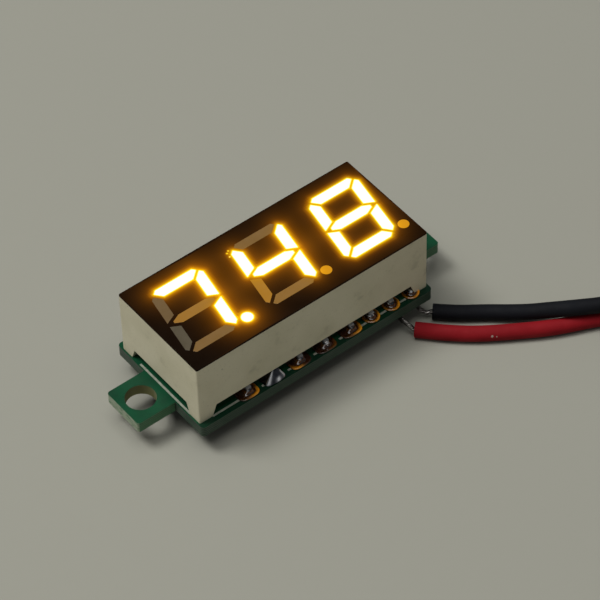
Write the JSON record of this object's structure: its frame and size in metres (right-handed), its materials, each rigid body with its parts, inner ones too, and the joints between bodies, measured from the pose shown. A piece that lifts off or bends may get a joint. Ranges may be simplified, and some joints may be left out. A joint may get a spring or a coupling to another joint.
{
  "type": "digital panel meter",
  "caption": "Small LED voltmeter module: seven-segment display soldered to a circuit board with two screw ears and a pair of supply wires.",
  "frame": {"origin": "on the resting surface, under the middle of the circuit board (wires left out)", "axes": "+X along the digits in reading order, +Y towards their tops, +Z out of the display face"},
  "size_m": [0.0625, 0.0293, 0.009],
  "materials": {
    "white_plastic": "off-white moulded reflector plastic",
    "black_film": "black face ink, satin",
    "amber_resin": "diffusing epoxy, unlit",
    "lit_resin": "diffusing epoxy, lit yellow",
    "chip_crystal": "light chip",
    "clear_resin": "cast potting",
    "board_green": "green solder mask on fibreglass",
    "white_print": "screen print",
    "copper": "plated copper under flux",
    "tinned_steel": "tinned",
    "solder": "bright solder",
    "black_epoxy": "moulded epoxy",
    "black_glaze": "glazed resistor",
    "tan_ceramic": "sintered ceramic",
    "red_pvc": "extruded vinyl",
    "black_pvc": "extruded vinyl",
    "tinned_strand": "tinned copper strands",
    "tie_nylon": "moulded nylon"
  },
  "bodies": {
    "root": {"display_housing": "white_plastic", "face_film": "black_film", "inner_board": "board_green", "light_chips": "chip_crystal", "rear_potting": "clear_resin", "front_leads": "tinned_steel", "rear_leads": "tinned_steel", "digit_1_segment_a": "lit_resin", "digit_1_segment_b": "lit_resin", "digit_1_segment_c": "lit_resin", "digit_1_segment_d": "amber_resin", "digit_1_segment_e": "amber_resin", "digit_1_segment_f": "amber_resin", "digit_1_segment_g": "amber_resin", "digit_1_point": "lit_resin", "digit_2_segment_a": "amber_resin", "digit_2_segment_b": "lit_resin", "digit_2_segment_c": "lit_resin", "digit_2_segment_d": "amber_resin", "digit_2_segment_e": "amber_resin", "digit_2_segment_f": "lit_resin", "digit_2_segment_g": "lit_resin", "digit_2_point": "amber_resin", "digit_3_segment_a": "lit_resin", "digit_3_segment_b": "lit_resin", "digit_3_segment_c": "lit_resin", "digit_3_segment_d": "lit_resin", "digit_3_segment_e": "lit_resin", "digit_3_segment_f": "lit_resin", "digit_3_segment_g": "lit_resin", "digit_3_point": "amber_resin", "main_board": "board_green", "outline_print": "white_print", "plated_holes": "copper", "front_solder": "solder", "rear_solder": "solder", "controller_body": "black_epoxy", "controller_leads": "tinned_steel", "regulator_body": "black_epoxy", "regulator_leads": "tinned_steel", "diode_body": "black_epoxy", "diode_leads": "tinned_steel", "reservoir_body": "black_epoxy", "reservoir_leads": "tinned_steel", "resistor_bodies": "black_glaze", "resistor_ends": "solder", "capacitor_bodies": "tan_ceramic", "capacitor_ends": "solder", "wire_pads": "copper", "wire_solder": "solder", "red_wire": "red_pvc", "red_wire_core": "tinned_strand", "red_wire_coil": "red_pvc", "red_wire_tip": "tinned_strand", "black_wire": "black_pvc", "black_wire_core": "tinned_strand", "black_wire_coil": "black_pvc", "black_wire_tip": "tinned_strand", "coil_tie": "tie_nylon"}
  },
  "joints": []
}
